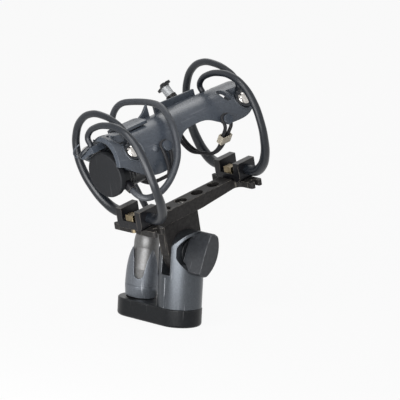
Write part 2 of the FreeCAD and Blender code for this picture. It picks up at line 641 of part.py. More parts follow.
def cradle_side():
    # lower edge of the shell seen from the side: front hood, front lobe, window and rear saddle
    axis = size("mic_height")
    profile = ((-52, 8.4), (-47.5, 8.0), (-43, 5.2), (-37, 1.0), (-31, -2.2), (-25, -4.0), (-20, -4.4),
               (-15.5, -3.6), (-11, 0.4), (-6, 4.6), (-1.5, 8.8), (4, 10.6), (11, 10.9), (18, 10.2),
               (24, 7.4), (30, 4.6), (38, 3.6), (47, 4.4), (53, 7.6), (58, 9.6))
    curve = Part.BSplineCurve()
    scale = shell_radius() / 17.5
    curve.interpolate([Vector(-60, y, axis + scale * z) for y, z in profile])
    floor = axis - 30
    first = Vector(-60, profile[0][0], axis + scale * profile[0][1])
    last = Vector(-60, profile[-1][0], axis + scale * profile[-1][1])
    wire = Part.Wire([curve.toShape(), Part.LineSegment(last, Vector(-60, last.y, floor)).toShape(),
                      Part.LineSegment(Vector(-60, last.y, floor), Vector(-60, first.y, floor)).toShape(),
                      Part.LineSegment(Vector(-60, first.y, floor), first).toShape()])
    return Part.Face(wire).extrude(Vector(120, 0, 0))


def turned_box(length, width, height, at, angle):
    # length across the arch, width along the axis, height outwards; at is its inner face's centre
    block = Part.makeBox(length, width, height, Vector(-length / 2, -width / 2, 0))
    block.Placement = Placement(at, Rotation(Vector(0, 1, 0), 90 - angle))
    return block


def cradle():
    wall = size("shell_wall")
    shell = shell_radius()
    axis = size("mic_height")
    hood = shell + size("hood_rise")
    rear = size("cradle_rear")
    stations = ((-53.0, hood + 0.6, shell + 1.2), (-45.0, hood - 0.6, shell + 0.8), (-36.0, shell + 1.9, shell + 0.2),
                (-27.0, shell + 0.9, shell), (0.0, shell + 0.4, shell), (32.0, shell + 0.2, shell),
                (rear, shell - 0.6, shell - 0.8))
    form = Part.makeLoft([arch(y, top, side, wall) for y, top, side in stations], True, False)
    # inner bosses: seats for the arm screws outside and for the microphone's body inside
    bosses = []
    cuts = []
    ring = Part.makeCylinder(shell - 0.5, rear + 51, Vector(0, -51, axis), Vector(0, 1, 0))
    ring = ring.cut(Part.makeCylinder(size("mic_radius") + 0.3, rear + 53, Vector(0, -52, axis), Vector(0, 1, 0)))
    eyelet = size("eyelet_radius") + 0.5
    for name, side, angle, station in pads():
        bosses.append(turned_box(13.5, 13.0, 8, polar(shell - 6.5, angle, station), angle).common(ring))
        seat = polar(pad_seat() - 0.02, angle, station)
        cuts.append(Part.makeCylinder(eyelet, 12, seat, radial(angle)))
        channel = turned_box(14, 2 * eyelet, 12, seat, angle)
        shift = Vector(-radial(angle).z, 0, radial(angle).x) * (7 * side)
        channel.translate(shift)
        cuts.append(channel)
        cuts.append(Part.makeCylinder(size("dome_shank") + 0.05, 10, polar(shell - 4.4, angle, station), radial(angle)))
    form = form.multiFuse(bosses)
    # left lip: upturned edge in two lengths, with the lead's gap between their raised ends
    lip = []
    for outline in (((-9.0, 14.0), (-9.0, 16.6), (-5.0, 18.6), (-0.9, 22.3), (-0.9, 14.0)),
                    ((3.6, 14.0), (3.6, 22.6), (7.4, 19.8), (39.5, 18.6), (41.5, 16.5), (41.5, 14.0))):
        points = [Vector(-9.4, y, axis + shell - 17.5 + z) for y, z in outline]
        face = Part.Face(Part.makePolygon(points + points[:1]))
        plate = face.extrude(Vector(1.3, 0, 0))
        plate.rotate(Vector(-8.8, 0, axis + shell - 3.5), Vector(0, 1, 0), -9)
        lip.append(plate)
    form = form.multiFuse(lip)
    # raised tongue on top of the front lobe
    tongue = Part.makeCylinder(shell + 2.9, 15, Vector(0, -29, axis), Vector(0, 1, 0))
    tongue = tongue.cut(Part.makeCylinder(shell + 1.5, 17, Vector(0, -30, axis), Vector(0, 1, 0)))
    tongue = tongue.common(turned_box(15, 15, 12, polar(shell - 3, 102, -21.5), 102))
    stem = turned_box(2.4, 12, 3.2, polar(shell - 0.8, 121, -21.5), 121)
    form = form.multiFuse([tongue, stem])
    cuts.append(cradle_side())
    # oval holes across the top of the hood and of the rear saddle
    for angle, station, width, length in ((77, -39.5, 3.4, 9.0), (66, 39.2, 4.2, 9.5)):
        at = polar(8, angle, station)
        hole = turned_box(length - width, width, 20, at, angle)
        cuts.append(hole)
        across = Vector(-radial(angle).z, 0, radial(angle).x)
        for sign in (-1, 1):
            cuts.append(Part.makeCylinder(width / 2, 20, at + across * (sign * (length - width) / 2), radial(angle)))
    # slanted mouth: the hood's sides reach further forward than its ridge
    mouth = Part.makePolygon([Vector(-60, -50.5, axis - 20), Vector(-60, -50.5, axis + 5),
                              Vector(-60, -43.0, axis + 23), Vector(-60, -43.0, axis + 40),
                              Vector(-60, -70, axis + 40), Vector(-60, -70, axis - 20),
                              Vector(-60, -50.5, axis - 20)])
    cuts.append(Part.Face(mouth).extrude(Vector(120, 0, 0)))
    form = form.cut(cuts[0].multiFuse(cuts[1:]))
    # cleats that hold the retaining bands
    hooks = []
    for angle, station in ((26, size("band_front")), (154, size("band_front")), (22, size("band_rear"))):
        hooks.append(Part.makeCylinder(size("cleat_neck"), 5.2, polar(shell - 1.6, angle, station), radial(angle)))
        hooks.append(Part.makeCylinder(size("cleat_radius"), 1.3, polar(shell + 2.9, angle, station), radial(angle)))
    for angle in (30, 150):
        hooks.append(Part.makeSphere(2.0, polar(shell - 0.6, angle, size("band_front") - 5.0)))
    form = form.multiFuse(hooks)
    bar_feature("cradle", max(form.removeSplitter().Solids, key=lambda solid: solid.Volume))


def tube(points, radius, report=""):
    # straight runs joined by tangent arcs, as large as the shorter run beside each point allows
    edges = []
    radii = []
    here = points[0]
    for before, corner, after in zip(points, points[1:], points[2:]):
        inward = (before - corner).normalize()
        onward = (after - corner).normalize()
        half = inward.getAngle(onward) / 2
        trim = 0.45 * min((before - corner).Length, (after - corner).Length)
        bend = trim * math.tan(half)
        radii.append(bend)
        enter = corner + inward * trim
        leave = corner + onward * trim
        middle = corner + (inward + onward).normalize() * (bend / math.sin(half) - bend)
        edges.append(Part.LineSegment(here, enter).toShape())
        edges.append(Part.Arc(enter, middle, leave).toShape())
        here = leave
    edges.append(Part.LineSegment(here, points[-1]).toShape())
    path = Part.Wire(edges)
    section = Part.Wire([Part.Circle(points[0], edges[0].tangentAt(0), radius).toShape()])
    solid = path.makePipeShell([section], True, False)
    if report:
        print(report, "bend radii", [round(value, 1) for value in radii], "length", round(path.Length, 1),
              "volume ratio", round(solid.Volume / (path.Length * math.pi * radius ** 2), 4))
    return solid


def hang(drop, turns):
    # strand below the shell's lower edge: clear of the edge, then round under the microphone
    outside = shell_radius() + size("band_radius") + 0.55
    points = [(outside, drop + 2.0), (outside - 0.7, drop - 2.4)]
    for turn in turns:
        points.append(((size("mic_radius") + size("band_slack")) * math.cos(math.radians(turn)),
                       (size("mic_radius") + size("band_slack")) * math.sin(math.radians(turn))))
    return points


def strand(angle, peg, drop, turns):
    # one side of the band: round its peg, down the shell and under; x outwards, z up, y along
    over = shell_radius() + size("band_radius") + 0.85
    neck = peg + size("band_radius") + 0.7
    at = Vector(math.cos(math.radians(angle)), math.sin(math.radians(angle)), 0) * over
    tip = Vector(-math.sin(math.radians(angle)), math.cos(math.radians(angle)), 0)
    points = [Vector(at.x + tip.x * neck, at.y + tip.y * neck, 0),
              Vector(at.x + tip.x * neck * 0.6, at.y + tip.y * neck * 0.6, neck * 0.85)]
    lower = angle - 10
    points.append(Vector(over * math.cos(math.radians(lower)), over * math.sin(math.radians(lower)), neck * 0.7))
    while lower > 26:
        lower -= 16
        points.append(Vector(over * math.cos(math.radians(lower)), over * math.sin(math.radians(lower)), 1.3))
    return points + [Vector(x, z, 1.25) for x, z in hang(drop, turns) if z < points[-1].y - 2]


def band_line(right, left):
    # the band runs straight from peg to peg: its station at x = 0 and the slope across
    over = shell_radius() + size("band_radius") + 0.85
    right_x = over * math.cos(math.radians(right[0]))
    left_x = -over * math.cos(math.radians(left[0]))
    slope = (right[1] - left[1]) / (right_x - left_x)
    return right[1] - slope * right_x, slope


def rear_pegs():
    # angle above the side, station and peg radius: a cleat on the right, the toggle on the left
    return ((22, size("band_rear"), size("cleat_neck")),
            (180 - size("toggle_angle"), size("toggle_station"), size("toggle_neck")))


# Retaining band: one elastic ring drawn out into two strands, looped over a peg on each side
# and passing outside the shell's edge and under the microphone.
def band(label, right, left, drop, turns):
    right_side = strand(right[0], right[2], drop, turns)
    left_side = strand(left[0], left[2], drop, turns)
    loop = size("mic_radius") + size("band_slack")
    ring = [Vector(0.35, -loop, 1.25)] + right_side[::-1]
    ring += [Vector(p.x, p.y, -p.z) for p in right_side[1:]]
    ring += [Vector(-p.x, p.y, -p.z) for p in left_side[::-1]]
    ring += [Vector(-p.x, p.y, p.z) for p in left_side[1:]] + [Vector(-0.35, -loop, 1.25)]
    middle, slope = band_line(right, left)
    points = [Vector(p.x, middle + p.z + slope * p.x, size("mic_height") + p.y) for p in ring]
    bar_feature(label, tube(points, size("band_radius"), label))


# Crimp that joins the two strands of the rear band, on its right side.
def band_clip():
    thick = size("band_radius")
    ends = hang(REAR_EDGE, REAR_TURNS)[1:3]
    at = Vector((ends[0][0] + ends[1][0]) / 2, 0, (ends[0][1] + ends[1][1]) / 2)
    angle = math.degrees(math.atan2(ends[1][0] - ends[0][0], ends[0][1] - ends[1][1]))
    middle, slope = band_line(*rear_pegs())
    station = middle + slope * at.x
    centre = Vector(at.x, station, at.z + size("mic_height"))
    out = radial(angle)
    clip = turned_box(5.0, 7.0, 2 * thick + 1.6, centre - out * (thick + 0.8), angle)
    hole = turned_box(9.0, 2.5 + 2 * thick + 1.6, 2 * thick + 0.6, centre - out * (thick + 0.3), angle)
    bar_feature("band_clip", clip.cut(hole))


# Toggle that tightens the rear band: post on the shell, sleeve and winged cap.
def toggle():
    angle = size("toggle_angle")
    station = size("toggle_station")
    reach = size("toggle_length")
    out = radial(angle)
    foot = shell_radius() + 3.1
    stem = Part.makeCylinder(3.0, 3.4, polar(foot, angle, station), out)
    for level in (0.9, 2.0):
        groove = Part.makeCylinder(3.4, 0.5, polar(foot + level, angle, station), out)
        stem = stem.cut(groove.cut(Part.makeCylinder(2.6, 0.5, polar(foot + level, angle, station), out)))
    stem = stem.fuse(Part.makeCylinder(1.2, reach - 1.0, polar(foot, angle, station), out))
    stem = stem.fuse(Part.makeCylinder(size("toggle_neck"), 2.8, polar(foot - 2.75, angle, station), out))
    bar_feature("toggle_stem", stem)
    sleeve = Part.makeCylinder(2.5, reach - 6.2, polar(foot + 3.45, angle, station), out)
    sleeve = sleeve.cut(Part.makeCylinder(1.25, reach, polar(foot + 3, angle, station), out))
    bar_feature("toggle_sleeve", sleeve)
    cap = Part.makeCone(2.9, 1.5, 2.4, polar(foot + reach - 2.7, angle, station), out)
    wing = turned_box(10.0, 2.6, 1.4, polar(foot + reach - 2.7, angle, station), angle)
    cap = cap.fuse(wing).cut(Part.makeCylinder(1.25, reach, polar(foot + 4, angle, station), out))
    bar_feature("toggle_cap", cap)


def gland_line():
    # where the lead's gland stands on the connector body, and its direction
    turn = math.radians(-31)
    foot = size("mic_radius") - size("connector_step") - 1.6
    root = Vector(foot * math.cos(turn), size("cap_front") + size("cap_height") + 3.3,
                  size("mic_height") + foot * math.sin(turn))
    return root, Vector(math.cos(turn), -0.12, math.sin(turn)).normalize()


# Microphone-end connector, lying in the front seats: body with ribs, cap, insert and contacts.
def connector():
    axis = size("mic_height")
    front = size("cap_front")
    radius = size("mic_radius") - size("connector_step")
    cap_end = front + size("cap_height")
    length = size("connector_length")
    ahead = Vector(0, 1, 0)
    cap = Part.makeCylinder(size("mic_radius") - size("cap_inset"), size("cap_height"),
                            Vector(0, front, axis), ahead)
    rim = [edge for edge in cap.Edges
           if abs(edge.BoundBox.YMax - front) < 1e-4 and abs(edge.BoundBox.YMin - front) < 1e-4]
    bar_feature("connector_cap", cap.makeFillet(0.8, rim[:1]))
    shell_form = Part.makeCylinder(radius, length, Vector(0, cap_end + 0.02, axis), ahead)
    shell_form = shell_form.cut(Part.makeCylinder(radius - 1.4, length - 4, Vector(0, cap_end + 4.1, axis), ahead))
    for index in range(3):
        at = Vector(0, cap_end + 4 + 2.2 * index, axis)
        groove = Part.makeCylinder(radius + 1, 0.9, at, ahead).cut(Part.makeCylinder(radius - 0.5, 0.9, at, ahead))
        shell_form = shell_form.cut(groove)
    bar_feature("connector_body", shell_form)
    disc = Part.makeCylinder(radius - 1.45, 4, Vector(0, cap_end + 4.15, axis), ahead)
    pins = []
    for angle in (90, 210, 330):
        at = Vector(4 * math.cos(math.radians(angle)), cap_end + 4.2, axis + 4 * math.sin(math.radians(angle)))
        disc = disc.cut(Part.makeCylinder(1.25, 6, at - ahead, ahead))
        pins.append(Part.makeCylinder(1.2, 9, at, ahead))
    bar_feature("connector_insert", disc)
    bar_feature("connector_contacts", Part.makeCompound(pins))
    foot, way = gland_line()
    gland = Part.makeCone(2.9, 2.3, size("gland_length"), foot, way)
    gland = gland.cut(Part.makeCylinder(radius + 0.05, length + 6, Vector(0, front, axis), ahead))
    bar_feature("lead_gland", max(gland.Solids, key=lambda solid: solid.Volume))


# Lead: one tube of straight runs joined by tangent arcs, from the gland under and over the
# cradle, round its left side and down into the plug.
def lead():
    foot, way = gland_line()
    start = foot + way * (size("gland_length") + 0.02)
    lean = Rotation(Vector(0, 1, 0), size("plug_lean")).multVec(Vector(0, 0, 1))
    plug_foot = size("base_height") + size("seat_gap")
    plug_foot = plug_foot + 0.9 * size("plug_radius") * math.sin(math.radians(size("plug_lean")))
    plug_top = Vector(0, 0, plug_foot) + lean * (size("plug_height") + 0.02)
    back = bar_frame().inverse()
    low = back.multVec(plug_top)
    shell = shell_radius()
    axis = size("mic_height")
    # round the cradle: across and up in shell radii from its axis, with the station between
    around = ((1.246, -37.5, -0.697), (1.371, -29.4, -0.629), (1.406, -21.0, -0.309),
              (1.406, -14.0, 0.286), (0.994, -8.8, 1.006), (0.194, -1.6, 1.326), (-0.48, 1.3, 1.297),
              (-1.143, 0.6, 1.234), (-1.771, -0.6, 1.12), (-2.183, -1.2, 0.629), (-2.206, -1.4, -0.057))
    # down to the plug: across from the plug's tip, station, share of the height up to the axis
    down = ((-9.0, -2.0, 0.7535), (-2.5, -2.4, 0.5464), (1.4, -0.6, 0.3197))
    route = [start, start + way * 5.0]
    route += [Vector(across * shell, station, axis + up * shell) for across, station, up in around]
    route += [Vector(low.x + across, station, low.z + share * (axis - low.z)) for across, station, share in down]
    route += [back.multVec(plug_top + lean * 6.0), low]
    bar_feature("lead", tube(route, size("lead_radius"), "lead"))


FRONT_CENTRE = "bar_front + tee_depth / 2"
REAR_CENTRE = "bar_rear - tee_depth / 2"
REAR_EDGE = 4.6
REAR_TURNS = (-38, -62)

base_block()
receptacle()
post()
post_screws()
clamp()
knob()
plug()
bar()
hinge_fin()
bar_screws()
arm_block("arm_block_front", FRONT_CENTRE)
arm_block("arm_block_rear", REAR_CENTRE)
block_screws()
roots = {"front": size("bar_front") + size("tee_depth") / 2, "rear": size("bar_rear") - size("tee_depth") / 2}
for group, side, angle, station in pads():
    arm("arm_%s_%s" % (group, "left" if side > 0 else "right"), roots[group], -side, angle, station)
dome_screws("pad_screws_front", "front")
dome_screws("pad_screws_rear", "rear")
cradle()
band("retaining_band_front", (26, size("band_front"), size("cleat_neck")),
     (26, size("band_front"), size("cleat_neck")), -4.4, (-55, -76))
band("retaining_band_rear", *rear_pegs(), REAR_EDGE, REAR_TURNS)
band_clip()
toggle()
connector()
lead()

doc.recompute()
for obj in doc.Objects:
    if "Invalid" in obj.State or "Error" in obj.State:
        raise RuntimeError("failed object: " + obj.Name)
for obj in NODES:
    if obj.Shape.isNull() or not obj.Shape.isValid():
        raise RuntimeError("bad shape: " + obj.Label)

os.makedirs("parts", exist_ok=True)
for obj in NODES:
    obj.Shape.exportStep("parts/%s.step" % obj.Label)
    extent = obj.Shape.BoundBox
    print("%-22s %7.1f..%6.1f %7.1f..%6.1f %7.1f..%6.1f  solids %d  volume %.0f" % (
        obj.Label, extent.XMin, extent.XMax, extent.YMin, extent.YMax, extent.ZMin, extent.ZMax,
        len(obj.Shape.Solids), obj.Shape.Volume))
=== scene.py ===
import math
import bmesh
import bpy
from mathutils import Matrix, Vector


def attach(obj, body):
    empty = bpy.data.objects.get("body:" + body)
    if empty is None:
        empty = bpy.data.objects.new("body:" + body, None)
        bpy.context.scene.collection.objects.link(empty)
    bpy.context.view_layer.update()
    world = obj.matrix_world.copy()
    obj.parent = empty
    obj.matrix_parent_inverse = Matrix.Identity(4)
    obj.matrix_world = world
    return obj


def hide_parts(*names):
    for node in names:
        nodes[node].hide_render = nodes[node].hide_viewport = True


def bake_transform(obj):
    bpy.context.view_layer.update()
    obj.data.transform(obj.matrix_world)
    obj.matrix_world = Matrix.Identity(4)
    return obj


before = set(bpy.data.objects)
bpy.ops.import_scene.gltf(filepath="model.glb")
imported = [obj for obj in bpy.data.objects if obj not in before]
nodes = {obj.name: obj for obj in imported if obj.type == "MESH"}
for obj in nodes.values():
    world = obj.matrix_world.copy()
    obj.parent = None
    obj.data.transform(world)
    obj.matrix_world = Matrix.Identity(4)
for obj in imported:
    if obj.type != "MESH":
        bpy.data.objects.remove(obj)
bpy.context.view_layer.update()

print("frame loaded:", len(nodes), "nodes")

# the tilted bar's own axes: origin on the clamp bolt, x across, y along the bar, z up from it
barSetup = {"tilt": 15.5, "boltAt": (0.0293, 0.0, 0.0401), "axisHeight": 59.0}
barTurn = Matrix.Rotation(math.radians(barSetup["tilt"]), 4, "X")
barMatrix = Matrix.Translation(barSetup["boltAt"]) @ barTurn


def barPoint(x, y, z):
    # millimetres in the bar's axes to metres in the frame
    return barMatrix @ Vector((x / 1000, y / 1000, z / 1000))


def polarPoint(radius, angle, station):
    # about the cradle's axis: angle 0 points right, 90 up
    turn = math.radians(angle)
    return barPoint(radius * math.cos(turn), station, barSetup["axisHeight"] + radius * math.sin(turn))


def polarDirection(angle):
    turn = math.radians(angle)
    return (barMatrix.to_3x3() @ Vector((math.cos(turn), 0, math.sin(turn)))).normalized()


# camera: the photograph's long lens from the front right, rolled a little clockwise
cameraSetup = {"azimuth": 44.5, "elevation": 10.0, "roll": 3.0, "pixelsPerMm": 1.887, "frame": 400,
               "knownPoint": (29.3, 0.0, 0.0), "knownPixel": (178.4, 324.0), "distance": 2.0}


def aimCamera(setup):
    a = math.radians(setup["azimuth"])
    e = math.radians(setup["elevation"])
    roll = math.radians(setup["roll"])
    across = Vector((math.cos(a), math.sin(a), 0))
    upward = Vector((-math.sin(a) * math.sin(e), math.cos(a) * math.sin(e), math.cos(e)))
    back = Vector((math.sin(a) * math.cos(e), -math.cos(a) * math.cos(e), math.sin(e)))
    right = across * math.cos(roll) + upward * math.sin(roll)
    up = upward * math.cos(roll) - across * math.sin(roll)
    scale = setup["pixelsPerMm"] * 1000
    half = setup["frame"] / 2
    centre = Vector(setup["knownPoint"]) / 1000
    centre = centre + right * ((half - setup["knownPixel"][0]) / scale)
    centre = centre + up * ((setup["knownPixel"][1] - half) / scale)
    data = bpy.data.cameras.new("photoCamera")
    data.sensor_width = 36
    data.lens = 36 * setup["distance"] / (setup["frame"] / scale)
    data.clip_start = 0.05
    data.clip_end = 30
    camera = bpy.data.objects.new("photoCamera", data)
    bpy.context.scene.collection.objects.link(camera)
    matrix = Matrix((right, up, back)).transposed().to_4x4()
    matrix.translation = centre + back * setup["distance"]
    camera.matrix_world = matrix
    bpy.context.scene.camera = camera
    return centre


lookAt = aimCamera(cameraSetup)
print("camera placed")


# finishes: colour in two tones, grain, roughness, fine bump, soft edges, and lighter edges that are both
# worn and a painted highlight
# each finish's last colour marks the scratches and the edges: real wear, and on the edges also a painted
# highlight
finishes = {
    "castGrey": {
        "base": (0.082, 0.090, 0.100), "tone": (0.053, 0.059, 0.067), "grain": 1500, "mix": 0.6,
        "metal": 0.75, "rough": 0.34, "roughSpread": 0.06, "shine": 0.5,
        "bumpGrain": 1700, "bump": 0.30, "edge": 0.45,
        "scratch": 0.75, "wearAndHighlight": (0.340, 0.350, 0.370), "edgeWearAndHighlightAmount": 0.7},
    "baseBlack": {
        "base": (0.005, 0.006, 0.007), "tone": (0.010, 0.011, 0.013), "grain": 900, "mix": 0.5,
        "metal": 0.0, "rough": 0.34, "roughSpread": 0.08, "shine": 0.18,
        "bumpGrain": 1900, "bump": 0.12, "edge": 0.45,
        "scratch": 0.45, "wearAndHighlight": (0.20, 0.20, 0.20), "edgeWearAndHighlightAmount": 0.5},
    "capGrain": {
        "base": (0.010, 0.011, 0.012), "tone": (0.024, 0.025, 0.028), "grain": 2400, "mix": 0.7,
        "metal": 0.0, "rough": 0.44, "roughSpread": 0.08, "shine": 0.1,
        "bumpGrain": 2600, "bump": 0.45, "edge": 0.3,
        "scratch": 0.15, "wearAndHighlight": (0.24, 0.24, 0.25), "edgeWearAndHighlightAmount": 0.4},
    "barBrown": {
        "base": (0.018, 0.017, 0.017), "tone": (0.040, 0.038, 0.037), "grain": 700, "mix": 0.5,
        "metal": 0.1, "rough": 0.46, "roughSpread": 0.10, "shine": 0.12,
        "bumpGrain": 1500, "bump": 0.14, "edge": 0.4,
        "scratch": 0.35, "wearAndHighlight": (0.46, 0.42, 0.36), "edgeWearAndHighlightAmount": 0.9},
    "screwSteel": {
        "base": (0.62, 0.60, 0.57), "tone": (0.42, 0.40, 0.38), "grain": 1200, "mix": 0.4,
        "metal": 1.0, "rough": 0.20, "roughSpread": 0.08, "shine": 0.5,
        "bumpGrain": 2500, "bump": 0.04, "edge": 0.25,
        "scratch": 0.0, "wearAndHighlight": (0.8, 0.78, 0.74), "edgeWearAndHighlightAmount": 0.3},
    "brassPiece": {
        "base": (0.27, 0.22, 0.14), "tone": (0.14, 0.11, 0.07), "grain": 1100, "mix": 0.5,
        "metal": 1.0, "rough": 0.30, "roughSpread": 0.10, "shine": 0.5,
        "bumpGrain": 2500, "bump": 0.05, "edge": 0.25,
        "scratch": 0.0, "wearAndHighlight": (0.75, 0.62, 0.38), "edgeWearAndHighlightAmount": 0.5},
    "plugSilver": {
        "base": (0.150, 0.164, 0.186), "tone": (0.110, 0.122, 0.139), "grain": 1100, "mix": 0.5,
        "metal": 0.35, "rough": 0.38, "roughSpread": 0.05, "shine": 0.5,
        "bumpGrain": 2200, "bump": 0.08, "edge": 0.35,
        "scratch": 0.45, "wearAndHighlight": (0.60, 0.62, 0.66), "edgeWearAndHighlightAmount": 0.6},
    "plugBrown": {
        "base": (0.170, 0.172, 0.175), "tone": (0.125, 0.122, 0.118), "grain": 1100, "mix": 0.5,
        "metal": 0.35, "rough": 0.4, "roughSpread": 0.06, "shine": 0.5,
        "bumpGrain": 2200, "bump": 0.08, "edge": 0.3,
        "scratch": 0.35, "wearAndHighlight": (0.34, 0.31, 0.28), "edgeWearAndHighlightAmount": 0.3},
    "shellGrey": {
        "base": (0.040, 0.048, 0.062), "tone": (0.052, 0.062, 0.077), "grain": 900, "mix": 0.5,
        "metal": 0.0, "rough": 0.28, "roughSpread": 0.07, "shine": 0.4,
        "bumpGrain": 1900, "bump": 0.10, "edge": 0.5,
        "scratch": 0.22, "wearAndHighlight": (0.26, 0.27, 0.29), "edgeWearAndHighlightAmount": 0.5},
    "knobGrey": {
        "base": (0.024, 0.026, 0.030), "tone": (0.038, 0.041, 0.046), "grain": 800, "mix": 0.5,
        "metal": 0.0, "rough": 0.34, "roughSpread": 0.08, "shine": 0.35,
        "bumpGrain": 1700, "bump": 0.10, "edge": 0.6,
        "scratch": 0.35, "wearAndHighlight": (0.34, 0.35, 0.37), "edgeWearAndHighlightAmount": 0.6},
    "blockBlack": {
        "base": (0.006, 0.006, 0.008), "tone": (0.013, 0.013, 0.015), "grain": 900, "mix": 0.5,
        "metal": 0.0, "rough": 0.3, "roughSpread": 0.08, "shine": 0.25,
        "bumpGrain": 1800, "bump": 0.06, "edge": 0.4,
        "scratch": 0.2, "wearAndHighlight": (0.40, 0.36, 0.30), "edgeWearAndHighlightAmount": 0.7},
    "armRubber": {
        "base": (0.007, 0.009, 0.013), "tone": (0.012, 0.015, 0.020), "grain": 1200, "mix": 0.5,
        "metal": 0.0, "rough": 0.33, "roughSpread": 0.07, "shine": 0.4,
        "bumpGrain": 2600, "bump": 0.05, "edge": 0.0,
        "scratch": 0.0, "wearAndHighlight": (0.1, 0.1, 0.1), "edgeWearAndHighlightAmount": 0.0},
    "bandRubber": {
        "base": (0.014, 0.014, 0.016), "tone": (0.026, 0.026, 0.028), "grain": 1200, "mix": 0.5,
        "metal": 0.0, "rough": 0.46, "roughSpread": 0.08, "shine": 0.15,
        "bumpGrain": 2600, "bump": 0.10, "edge": 0.0,
        "scratch": 0.0, "wearAndHighlight": (0.1, 0.1, 0.1), "edgeWearAndHighlightAmount": 0.0},
    "leadRubber": {
        "base": (0.030, 0.034, 0.041), "tone": (0.042, 0.046, 0.054), "grain": 1200, "mix": 0.5,
        "metal": 0.0, "rough": 0.38, "roughSpread": 0.07, "shine": 0.3,
        "bumpGrain": 2600, "bump": 0.05, "edge": 0.0,
        "scratch": 0.0, "wearAndHighlight": (0.1, 0.1, 0.1), "edgeWearAndHighlightAmount": 0.0},
    "clipBeige": {
        "base": (0.50, 0.45, 0.36), "tone": (0.38, 0.34, 0.27), "grain": 900, "mix": 0.5,
        "metal": 0.3, "rough": 0.40, "roughSpread": 0.10, "shine": 0.5,
        "bumpGrain": 2500, "bump": 0.05, "edge": 0.2,
        "scratch": 0.0, "wearAndHighlight": (0.7, 0.66, 0.58), "edgeWearAndHighlightAmount": 0.4},
    "sleeveGrey": {
        "base": (0.42, 0.43, 0.44), "tone": (0.32, 0.33, 0.34), "grain": 900, "mix": 0.5,
        "metal": 0.1, "rough": 0.36, "roughSpread": 0.10, "shine": 0.5,
        "bumpGrain": 2500, "bump": 0.05, "edge": 0.2,
        "scratch": 0.0, "wearAndHighlight": (0.62, 0.62, 0.62), "edgeWearAndHighlightAmount": 0.4},
}

# how the finishes are built: soft patches that vary the gloss, scratches in two directions, lighter edges
# that are both worn and a painted highlight
surfaceSetup = {"grainDetail": 5, "grainRough": 0.6, "mixWidth": 0.35,
                "patchScale": 220, "patchDetail": 3,
                "scratches": ((0.5, 1500), (2.1, 1100)), "scratchTurn": (0.3, 0.9),
                "scratchLength": (45, 60), "scratchFrom": 0.70, "scratchFull": 0.80,
                "bumpDetail": 4, "bumpDepth": 0.0002, "bevelSamples": 4,
                "edgeFlat": 0.985, "edgeSharp": 0.80, "edgeWearHighlightFrom": 0.40, "edgeWearHighlightFull": 0.62}


